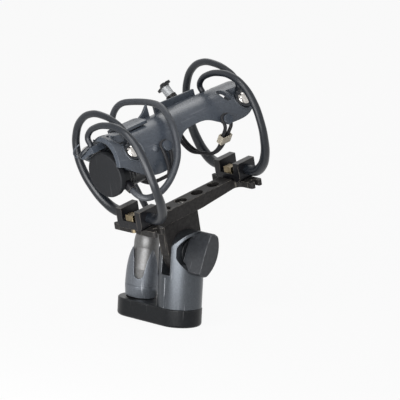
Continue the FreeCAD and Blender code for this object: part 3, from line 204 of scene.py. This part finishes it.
def makeFinish(name, look):
    material = bpy.data.materials.new(name)
    material.use_nodes = True
    tree = material.node_tree
    make = tree.nodes.new
    join = tree.links.new
    shader = tree.nodes["Principled BSDF"]
    shader.inputs["Metallic"].default_value = look["metal"]
    shader.inputs["Specular IOR Level"].default_value = look["shine"]
    place = make("ShaderNodeTexCoord").outputs["Object"]
    grain = make("ShaderNodeTexNoise")
    grain.inputs["Scale"].default_value = look["grain"]
    grain.inputs["Detail"].default_value = surfaceSetup["grainDetail"]
    grain.inputs["Roughness"].default_value = surfaceSetup["grainRough"]
    join(place, grain.inputs["Vector"])
    spread = make("ShaderNodeMapRange")
    spread.inputs["From Min"].default_value = 0.5 - look["mix"] * surfaceSetup["mixWidth"]
    spread.inputs["From Max"].default_value = 0.5 + look["mix"] * surfaceSetup["mixWidth"]
    join(grain.outputs["Fac"], spread.inputs["Value"])
    tones = make("ShaderNodeMix")
    tones.data_type = "RGBA"
    tones.inputs["A"].default_value = (*look["base"], 1)
    tones.inputs["B"].default_value = (*look["tone"], 1)
    join(spread.outputs["Result"], tones.inputs["Factor"])
    colour = tones.outputs["Result"]
    rough = make("ShaderNodeMapRange")
    rough.inputs["To Min"].default_value = look["rough"] - look["roughSpread"]
    rough.inputs["To Max"].default_value = look["rough"] + look["roughSpread"]
    patches = make("ShaderNodeTexNoise")
    patches.inputs["Scale"].default_value = surfaceSetup["patchScale"]
    patches.inputs["Detail"].default_value = surfaceSetup["patchDetail"]
    join(place, patches.inputs["Vector"])
    join(patches.outputs["Fac"], rough.inputs["Value"])
    join(rough.outputs["Result"], shader.inputs["Roughness"])
    if look["scratch"]:
        first, last = surfaceSetup["scratchTurn"]
        for tilt, across in surfaceSetup["scratches"]:
            turned = make("ShaderNodeMapping")
            turned.inputs["Rotation"].default_value = (first, tilt, last)
            turned.inputs["Scale"].default_value = (across, *surfaceSetup["scratchLength"])
            join(place, turned.inputs["Vector"])
            streak = make("ShaderNodeTexNoise")
            streak.inputs["Scale"].default_value = 1.0
            streak.inputs["Detail"].default_value = 1
            join(turned.outputs["Vector"], streak.inputs["Vector"])
            thin = make("ShaderNodeMapRange")
            thin.inputs["From Min"].default_value = surfaceSetup["scratchFrom"]
            thin.inputs["From Max"].default_value = surfaceSetup["scratchFull"]
            thin.inputs["To Max"].default_value = look["scratch"]
            join(streak.outputs["Fac"], thin.inputs["Value"])
            marked = make("ShaderNodeMix")
            marked.data_type = "RGBA"
            marked.inputs["B"].default_value = (*look["wearAndHighlight"], 1)
            join(thin.outputs["Result"], marked.inputs["Factor"])
            join(colour, marked.inputs["A"])
            colour = marked.outputs["Result"]
    fine = make("ShaderNodeTexNoise")
    fine.inputs["Scale"].default_value = look["bumpGrain"]
    fine.inputs["Detail"].default_value = surfaceSetup["bumpDetail"]
    join(place, fine.inputs["Vector"])
    bump = make("ShaderNodeBump")
    bump.inputs["Strength"].default_value = look["bump"]
    bump.inputs["Distance"].default_value = surfaceSetup["bumpDepth"]
    join(fine.outputs["Fac"], bump.inputs["Height"])
    if look["edge"]:
        soft = make("ShaderNodeBevel")
        soft.samples = surfaceSetup["bevelSamples"]
        soft.inputs["Radius"].default_value = look["edge"] / 1000
        join(soft.outputs["Normal"], bump.inputs["Normal"])
        plain = make("ShaderNodeNewGeometry")
        facing = make("ShaderNodeVectorMath")
        facing.operation = "DOT_PRODUCT"
        join(soft.outputs["Normal"], facing.inputs[0])
        join(plain.outputs["Normal"], facing.inputs[1])
        # from here: a lighter colour on the edges that the soft normal finds, broken up by the patches:
        # worn edges and, at once, a painted edge highlight
        ridge = make("ShaderNodeMapRange")
        ridge.inputs["From Min"].default_value = surfaceSetup["edgeFlat"]
        ridge.inputs["From Max"].default_value = surfaceSetup["edgeSharp"]
        join(facing.outputs["Value"], ridge.inputs["Value"])
        broken = make("ShaderNodeMapRange")
        broken.inputs["From Min"].default_value = surfaceSetup["edgeWearHighlightFrom"]
        broken.inputs["From Max"].default_value = surfaceSetup["edgeWearHighlightFull"]
        broken.inputs["To Max"].default_value = look["edgeWearAndHighlightAmount"]
        join(patches.outputs["Fac"], broken.inputs["Value"])
        amount = make("ShaderNodeMath")
        amount.operation = "MULTIPLY"
        join(ridge.outputs["Result"], amount.inputs[0])
        join(broken.outputs["Result"], amount.inputs[1])
        wornHighlightEdge = make("ShaderNodeMix")
        wornHighlightEdge.data_type = "RGBA"
        wornHighlightEdge.inputs["B"].default_value = (*look["wearAndHighlight"], 1)
        join(amount.outputs["Value"], wornHighlightEdge.inputs["Factor"])
        join(colour, wornHighlightEdge.inputs["A"])
        colour = wornHighlightEdge.outputs["Result"]
    join(colour, shader.inputs["Base Color"])
    join(bump.outputs["Normal"], shader.inputs["Normal"])
    return material


paints = {name: makeFinish(name, look) for name, look in finishes.items()}

# which solid wears which finish; the arms and the lead are pieces of their own
nodeFinish = {
    "base_block": "baseBlack", "receptacle_disc": "blockBlack", "receptacle_pins": "brassPiece",
    "post": "castGrey", "post_screws": "screwSteel", "clamp_bolt": "screwSteel",
    "clamp_nut": "screwSteel", "clamp_washer": "baseBlack", "knob": "knobGrey",
    "plug_sleeve": "plugSilver", "plug_core": "plugBrown", "plug_insert": "blockBlack",
    "bar": "barBrown", "hinge_fin": "barBrown", "bar_screws": "screwSteel",
    "arm_block_front": "blockBlack", "arm_block_rear": "blockBlack", "block_screws": "brassPiece",
    "pad_screws_front": "screwSteel", "pad_screws_rear": "screwSteel", "cradle": "shellGrey",
    "band_clip": "clipBeige", "toggle_stem": "blockBlack", "toggle_sleeve": "sleeveGrey",
    "toggle_cap": "blockBlack", "connector_cap": "capGrain", "connector_body": "baseBlack",
    "connector_insert": "blockBlack", "connector_contacts": "brassPiece", "lead_gland": "blockBlack",
    "retaining_band_front": "bandRubber", "retaining_band_rear": "bandRubber",
}
for node, finish in nodeFinish.items():
    for holder in nodes[node].material_slots:
        holder.material = paints[finish]
print("finishes made:", len(paints))


def sweepTree():
    # a round tube along a curve, with its own radius at the start, at a middle place and at the end
    tree = bpy.data.node_groups.new("taperedTube", "GeometryNodeTree")
    face = tree.interface
    face.new_socket("Curve", in_out="INPUT", socket_type="NodeSocketGeometry")
    for title, value in (("Start Radius", 0.003), ("Middle Radius", 0.002), ("End Radius", 0.002),
                         ("Middle At", 0.5)):
        face.new_socket(title, in_out="INPUT", socket_type="NodeSocketFloat").default_value = value
    for title, value in (("Rings", 90), ("Sides", 20)):
        face.new_socket(title, in_out="INPUT", socket_type="NodeSocketInt").default_value = value
    face.new_socket("Finish", in_out="INPUT", socket_type="NodeSocketMaterial")
    face.new_socket("Tube", in_out="OUTPUT", socket_type="NodeSocketGeometry")
    make = tree.nodes.new
    join = tree.links.new
    given = make("NodeGroupInput")
    spaced = make("GeometryNodeResampleCurve")
    join(given.outputs["Curve"], spaced.inputs["Curve"])
    join(given.outputs["Rings"], spaced.inputs["Count"])
    along = make("GeometryNodeSplineParameter")
    first = make("ShaderNodeMapRange")
    first.interpolation_type = "SMOOTHSTEP"
    join(along.outputs["Factor"], first.inputs["Value"])
    join(given.outputs["Middle At"], first.inputs["From Max"])
    join(given.outputs["Start Radius"], first.inputs["To Min"])
    join(given.outputs["Middle Radius"], first.inputs["To Max"])
    change = make("ShaderNodeMath")
    change.operation = "SUBTRACT"
    join(given.outputs["End Radius"], change.inputs[0])
    join(given.outputs["Middle Radius"], change.inputs[1])
    second = make("ShaderNodeMapRange")
    second.interpolation_type = "SMOOTHSTEP"
    join(along.outputs["Factor"], second.inputs["Value"])
    join(given.outputs["Middle At"], second.inputs["From Min"])
    join(change.outputs["Value"], second.inputs["To Max"])
    radius = make("ShaderNodeMath")
    radius.operation = "ADD"
    join(first.outputs["Result"], radius.inputs[0])
    join(second.outputs["Result"], radius.inputs[1])
    ring = make("GeometryNodeCurvePrimitiveCircle")
    ring.inputs["Radius"].default_value = 1.0
    join(given.outputs["Sides"], ring.inputs["Resolution"])
    tube = make("GeometryNodeCurveToMesh")
    tube.inputs["Fill Caps"].default_value = True
    join(spaced.outputs["Curve"], tube.inputs["Curve"])
    join(ring.outputs["Curve"], tube.inputs["Profile Curve"])
    join(radius.outputs["Value"], tube.inputs["Scale"])
    real = make("GeometryNodeRealizeInstances")
    join(tube.outputs["Mesh"], real.inputs["Geometry"])
    finish = make("GeometryNodeSetMaterial")
    join(real.outputs["Geometry"], finish.inputs["Geometry"])
    join(given.outputs["Finish"], finish.inputs["Material"])
    leave = make("NodeGroupOutput")
    join(finish.outputs["Geometry"], leave.inputs["Tube"])
    return tree


tubeTree = sweepTree()


def plainMesh(name, carrier):
    # the evaluated shape of an object, as a mesh object of its own; the carrier goes
    bpy.context.view_layer.update()
    seen = carrier.evaluated_get(bpy.context.evaluated_depsgraph_get())
    mesh = bpy.data.meshes.new_from_object(seen)
    mesh.name = name
    bpy.data.objects.remove(carrier)
    piece = bpy.data.objects.new(name, mesh)
    bpy.context.scene.collection.objects.link(piece)
    return piece


def smoothCurve(name, points, kind="NURBS"):
    data = bpy.data.curves.new(name, "CURVE")
    data.dimensions = "3D"
    data.resolution_u = 16
    spline = data.splines.new(kind)
    if kind == "BEZIER":
        spline.bezier_points.add(len(points) - 1)
        for knot, point in zip(spline.bezier_points, points):
            knot.co = point
            knot.handle_left_type = "AUTO"
            knot.handle_right_type = "AUTO"
    else:
        spline.points.add(len(points) - 1)
        for knot, point in zip(spline.points, points):
            knot.co = (*point, 1)
        spline.order_u = 3
        spline.use_endpoint_u = True
    carrier = bpy.data.objects.new(name, data)
    bpy.context.scene.collection.objects.link(carrier)
    return carrier


def tubeAlong(name, carrier, values, finish):
    # values: start, middle and end radius in mm, where the middle is, rings and sides
    modifier = carrier.modifiers.new("tube", "NODES")
    modifier.node_group = tubeTree
    items = tubeTree.interface.items_tree
    inputs = {item.name: item.identifier for item in items if item.in_out == "INPUT"}
    modifier[inputs["Start Radius"]] = values["start"] / 1000
    modifier[inputs["Middle Radius"]] = values["middle"] / 1000
    modifier[inputs["End Radius"]] = values["end"] / 1000
    modifier[inputs["Middle At"]] = values["at"]
    modifier[inputs["Rings"]] = values["rings"]
    modifier[inputs["Sides"]] = values["sides"]
    modifier[inputs["Finish"]] = finish
    piece = plainMesh(name, carrier)
    for face in piece.data.polygons:
        face.use_smooth = True
    return piece


# elastomer arms: root in the block, out and up round the cradle, over it and down to an eyelet
# route: across and up in the bar's axes in mm, and the share of the way from the block to the eyelet
# eyeProfile: radius from the screw and height over the seat in mm
armShape = {"rootX": 8.6, "rootZ": 30.4, "start": 2.9, "middle": 2.1, "end": 1.6, "at": 0.45,
            "rings": 96, "sides": 22,
            "route": ((12.0, 30.3, 0.01), (15.6, 30.6, 0.04), (21.5, 34.2, 0.16), (27.6, 42.4, 0.42),
                      (31.3, 53.0, 0.72), (31.9, 63.5, 0.9), (29.4, 74.0, 0.98), (24.0, 82.0, 1.0),
                      (15.5, 86.8, 1.0), (6.0, 87.2, 1.0), (-2.6, 84.8, 1.0), (-7.6, 81.5, 1.0),
                      (-9.7, 77.4, 1.0)),
            "neck": (5.2, 3.0), "seat": 16.0,
            "eyeProfile": ((1.4, -1.1), (4.5, -1.1), (5.0, -0.6), (5.0, 0.5), (4.7, 0.95), (4.1, 1.1),
                           (3.7, 0.9), (1.4, 0.9)),
            "eyeSides": 36, "voxel": 0.32, "relax": 0.5, "relaxSteps": 6}
# side of the bar, station of the block, angle and station of the eyelet
armPlaces = {"arm_front_left": (-1, -27.5, 43.0, -34.6), "arm_front_right": (1, -27.5, 137.0, -44.4),
             "arm_rear_left": (-1, 46.4, 43.0, 48.4), "arm_rear_right": (1, 46.4, 137.0, 38.6)}


def makeArm(name, side, root, angle, station):
    outward = polarDirection(angle)
    level = (barMatrix.to_3x3() @ Vector((0, 1, 0))).normalized()
    rise = outward.cross(level).normalized()
    if rise.z < 0:
        rise = -rise
    centre = polarPoint(armShape["seat"], angle, station)
    points = [barPoint(side * armShape["rootX"], root, armShape["rootZ"])]
    for x, z, share in armShape["route"]:
        points.append(barPoint(side * x, root + share * (station - root), z))
    for reach in armShape["neck"]:
        points.append(centre + rise * (reach / 1000))
    limb = tubeAlong(name, smoothCurve(name + "Line", points, "BEZIER"), armShape, paints["armRubber"])
    # moulded eyelet: a turned ring about the screw, joined to the limb by a fine remesh
    form = bmesh.new()
    form.from_mesh(limb.data)
    profile = armShape["eyeProfile"]
    count = armShape["eyeSides"]
    sideways = outward.cross(rise).normalized()
    rings = []
    for index in range(count):
        turn = 2 * math.pi * index / count
        spoke = rise * math.cos(turn) + sideways * math.sin(turn)
        rings.append([form.verts.new(centre + spoke * (out / 1000) + outward * (up / 1000))
                      for out, up in profile])
    for index in range(count):
        here = rings[index]
        there = rings[(index + 1) % count]
        for step in range(len(profile)):
            nextStep = (step + 1) % len(profile)
            form.faces.new((here[step], there[step], there[nextStep], here[nextStep]))
    bmesh.ops.recalc_face_normals(form, faces=form.faces)
    form.to_mesh(limb.data)
    form.free()
    remesh = limb.modifiers.new("join", "REMESH")
    remesh.mode = "VOXEL"
    remesh.voxel_size = armShape["voxel"] / 1000
    relax = limb.modifiers.new("relax", "SMOOTH")
    relax.factor = armShape["relax"]
    relax.iterations = armShape["relaxSteps"]
    piece = plainMesh(name + "Rubber", limb)
    for face in piece.data.polygons:
        face.use_smooth = True
    piece.data.materials.clear()
    piece.data.materials.append(paints["armRubber"])
    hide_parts(name)
    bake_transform(piece)


for name, place in armPlaces.items():
    makeArm(name, *place)
print("arms made")


# raised rims moulded in the shell about the four screw recesses, open where the arm comes in
rimShape = {"radius": 6.3, "start": 0.42, "middle": 0.55, "end": 0.42, "at": 0.5,
            "rings": 64, "sides": 12,
            "gap": 48.0, "points": 30, "sink": 0.12}
# station along the cradle, height and half width of the shell's outside in mm
shellStations = ((-53.0, 22.1, 18.7), (-45.0, 20.9, 18.3), (-36.0, 19.4, 17.7), (-27.0, 18.4, 17.5),
                 (0.0, 17.9, 17.5), (32.0, 17.7, 17.5), (55.0, 16.9, 16.7))


def shellRadius(angle, station):
    # outside of the shell: an upper half ellipse whose axes change along the shell
    for near, far in zip(shellStations, shellStations[1:]):
        if station <= far[0]:
            break
    share = min(max((station - near[0]) / (far[0] - near[0]), 0), 1)
    top = near[1] + share * (far[1] - near[1])
    side = near[2] + share * (far[2] - near[2])
    turn = math.radians(angle)
    return 1 / math.sqrt((math.cos(turn) / side) ** 2 + (math.sin(turn) / top) ** 2)


def makeRim(name, angle, station):
    upward = 1 if angle < 90 else -1
    points = []
    for step in range(rimShape["points"] + 1):
        turn = math.radians(rimShape["gap"] + (360 - 2 * rimShape["gap"]) * step / rimShape["points"])
        shift = rimShape["radius"] * math.cos(turn)
        along = rimShape["radius"] * math.sin(turn)
        outer = shellRadius(angle, station + along)
        here = angle + upward * math.degrees(shift / outer)
        height = shellRadius(here, station + along) - rimShape["sink"]
        points.append(polarPoint(height, here, station + along))
    rim = tubeAlong(name, smoothCurve(name + "Line", points, "BEZIER"), rimShape, paints["shellGrey"])
    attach(rim, "cradle")


for name, (side, root, angle, station) in armPlaces.items():
    makeRim(name.replace("arm_", "rim_"), angle, station)
print("rims made")


# lead: the same route as the solid, as one smooth line cut where it crosses the bar's left side
leadShape = {"start": 1.75, "middle": 1.75, "end": 1.75, "at": 0.5, "rings": 220, "sides": 20,
             "glandAngle": -31, "glandRadius": 9.4, "glandStation": -39.0, "glandSlope": -0.12,
             "glandReach": (6.0, 11.0), "plugLean": 5.0, "plugFloor": 0.0098, "plugGap": 0.0003,
             "plugRadius": 0.0093, "plugHeight": 0.038, "plugReach": 0.006,
             "split": (-38.5, -1.4, 62.0), "leftOf": -14, "overlap": 0.0012}
leadRoute = ((21.8, -37.5, 46.8), (24.0, -29.4, 48.0), (24.6, -21.0, 53.6), (24.6, -14.0, 64.0),
             (17.4, -8.8, 76.6), (3.4, -1.6, 82.2), (-8.4, 1.3, 81.7), (-20.0, 0.6, 80.6),
             (-31.0, -0.6, 78.6), (-38.2, -1.2, 70.0), (-38.6, -1.4, 58.0), (-35.0, -2.0, 46.5),
             (-28.5, -2.4, 36.0), (-24.6, -0.6, 24.5))


def glandLine():
    # where the lead leaves the connector, in the bar's axes in mm, and its direction there
    turn = math.radians(leadShape["glandAngle"])
    radius = leadShape["glandRadius"]
    foot = Vector((radius * math.cos(turn), leadShape["glandStation"],
                   barSetup["axisHeight"] + radius * math.sin(turn)))
    way = Vector((math.cos(turn), leadShape["glandSlope"], math.sin(turn))).normalized()
    return foot, way


def plugLine():
    # foot of the leaning plug on the receptacle, in the frame in metres, and its direction
    lean = math.radians(leadShape["plugLean"])
    way = Vector((math.sin(lean), 0, math.cos(lean)))
    lift = 0.9 * leadShape["plugRadius"] * math.sin(lean)
    foot = Vector((0, 0, leadShape["plugFloor"] + leadShape["plugGap"] + lift))
    return foot, way


def makeLead():
    foot, way = glandLine()
    plugFoot, plugWay = plugLine()
    tip = plugFoot + plugWay * leadShape["plugHeight"]
    route = [barPoint(*(foot + way * reach)) for reach in leadShape["glandReach"]]
    route += [barPoint(*point) for point in leadRoute]
    route += [tip + plugWay * leadShape["plugReach"], tip]
    whole = tubeAlong("leadLine", smoothCurve("leadLine", route), leadShape, paints["leadRubber"])
    # two parts with a small overlap, cut square to the bar's upright at the bend on the left
    split = barPoint(*leadShape["split"])
    across = (barMatrix.to_3x3() @ Vector((0, 0, 1))).normalized()
    pieces = []
    for title, keepUpper in (("leadUpper", True), ("leadLower", False)):
        form = bmesh.new()
        form.from_mesh(whole.data)
        left = [vert for vert in form.verts if vert.co.x < barPoint(leadShape["leftOf"], 0, 0).x]
        if keepUpper:
            doomed = [vert for vert in left if (vert.co - split).dot(across) <= 0]
        else:
            kept = {vert for vert in left if (vert.co - split).dot(across) <= leadShape["overlap"]}
            doomed = [vert for vert in form.verts if vert not in kept]
        bmesh.ops.delete(form, geom=doomed, context="VERTS")
        bmesh.ops.holes_fill(form, edges=form.edges, sides=40)
        mesh = bpy.data.meshes.new(title)
        form.to_mesh(mesh)
        form.free()
        mesh.materials.clear()
        mesh.materials.append(paints["leadRubber"])
        for face in mesh.polygons:
            face.use_smooth = True
        piece = bpy.data.objects.new(title, mesh)
        bpy.context.scene.collection.objects.link(piece)
        pieces.append(piece)
    bpy.data.objects.remove(whole)
    upper, lower = pieces
    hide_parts("lead")
    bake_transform(upper)
    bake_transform(lower)


makeLead()
print("lead made")

# floor and room: half the floor's side in metres, the room's strength at its sides and overhead
stageSetup = {"floorSize": 4.0, "floorDrop": 0.0002, "floorWhite": 0.93, "floorTone": (0.42, 0.42, 0.42),
              "floorRough": 0.9, "floorShine": 0.1, "white": 1.0, "sides": 0.15, "overhead": 0.55,
              "roomLow": 0.05, "roomHigh": 0.8}


def whiteShare(tree):
    # 1 for the rays that should meet plain white: the camera's, and those off metal or through glass
    path = tree.nodes.new("ShaderNodeLightPath")
    total = path.outputs["Is Camera Ray"]
    for kind in ("Is Glossy Ray", "Is Transmission Ray"):
        more = tree.nodes.new("ShaderNodeMath")
        more.operation = "MAXIMUM"
        tree.links.new(total, more.inputs[0])
        tree.links.new(path.outputs[kind], more.inputs[1])
        total = more.outputs["Value"]
    return total


def paleMaterial():
    material = bpy.data.materials.new("paleFloor")
    material.use_nodes = True
    tree = material.node_tree
    make = tree.nodes.new
    join = tree.links.new
    shader = tree.nodes["Principled BSDF"]
    shader.inputs["Base Color"].default_value = (*stageSetup["floorTone"], 1)
    shader.inputs["Roughness"].default_value = stageSetup["floorRough"]
    shader.inputs["Specular IOR Level"].default_value = stageSetup["floorShine"]
    glow = make("ShaderNodeEmission")
    glow.inputs["Color"].default_value = (1, 1, 1, 1)
    share = make("ShaderNodeMath")
    share.operation = "MULTIPLY"
    share.inputs[1].default_value = stageSetup["floorWhite"]
    join(whiteShare(tree), share.inputs[0])
    mixed = make("ShaderNodeMixShader")
    join(share.outputs["Value"], mixed.inputs["Fac"])
    join(shader.outputs["BSDF"], mixed.inputs[1])
    join(glow.outputs["Emission"], mixed.inputs[2])
    join(mixed.outputs["Shader"], tree.nodes["Material Output"].inputs["Surface"])
    return material


def buildStage():
    size = stageSetup["floorSize"]
    drop = -stageSetup["floorDrop"]
    corners = [(-size, -size, drop), (size, -size, drop), (size, size, drop), (-size, size, drop)]
    floor = bpy.data.meshes.new("floor")
    floor.from_pydata(corners, [], [(0, 1, 2, 3)])
    holder = bpy.data.objects.new("floor", floor)
    holder.data.materials.append(paleMaterial())
    bpy.context.scene.collection.objects.link(holder)
    world = bpy.data.worlds.new("paleRoom")
    bpy.context.scene.world = world
    world.use_nodes = True
    tree = world.node_tree
    make = tree.nodes.new
    join = tree.links.new
    room = tree.nodes["Background"]
    room.inputs["Color"].default_value = (1, 1, 1, 1)
    seen = whiteShare(tree)
    # the room that lights the part: brighter overhead, dimmer at the sides
    ray = make("ShaderNodeTexCoord").outputs["Generated"]
    height = make("ShaderNodeSeparateXYZ")
    join(ray, height.inputs["Vector"])
    lit = make("ShaderNodeMapRange")
    lit.inputs["From Min"].default_value = stageSetup["roomLow"]
    lit.inputs["From Max"].default_value = stageSetup["roomHigh"]
    lit.inputs["To Min"].default_value = stageSetup["sides"]
    lit.inputs["To Max"].default_value = stageSetup["overhead"]
    join(height.outputs["Z"], lit.inputs["Value"])
    strength = make("ShaderNodeMix")
    strength.inputs["B"].default_value = stageSetup["white"]
    join(lit.outputs["Result"], strength.inputs["A"])
    join(seen, strength.inputs["Factor"])
    join(strength.outputs["Result"], room.inputs["Strength"])


# lamps: place and aim in metres in the frame, width, height where it isn't square, and watts
# lowLamp stands beside the base and shows in reflections alone
lamps = {
    "keyLamp": {"place": lookAt + Vector((0.28, -0.62, 0.85)), "aim": lookAt, "width": 0.24, "power": 3.0},
    "fillLamp": {"place": lookAt + Vector((0.85, -0.35, 0.25)), "aim": lookAt, "width": 0.6, "power": 0.6},
    "sideLamp": {"place": Vector((0.134, -0.227, 0.150)), "aim": Vector((0.029, 0.0, 0.150)),
                 "width": 0.24, "height": 0.30, "power": 0.80},
    "lowLamp": {"place": Vector((0.0755, -0.0997, 0.042)), "aim": Vector((0.0293, 0.0, 0.042)),
                "width": 0.10, "height": 0.08, "power": 0.14, "onlyShine": True},
    "rimLamp": {"place": lookAt + Vector((-0.5, 0.4, 0.8)), "aim": lookAt, "width": 0.4, "power": 1.2},
}


def areaLamp(name, setup):
    data = bpy.data.lights.new(name, "AREA")
    data.size = setup["width"]
    if "height" in setup:
        data.shape = "RECTANGLE"
        data.size_y = setup["height"]
    data.energy = setup["power"]
    lamp = bpy.data.objects.new(name, data)
    lamp.location = setup["place"]
    lamp.rotation_mode = "QUATERNION"
    lamp.rotation_quaternion = (setup["aim"] - setup["place"]).to_track_quat("-Z", "Y")
    lamp.visible_camera = False
    lamp.visible_diffuse = not setup.get("onlyShine", False)
    bpy.context.scene.collection.objects.link(lamp)


buildStage()
for name, setup in lamps.items():
    areaLamp(name, setup)
bpy.context.scene.view_settings.view_transform = "Standard"
print("stage set")
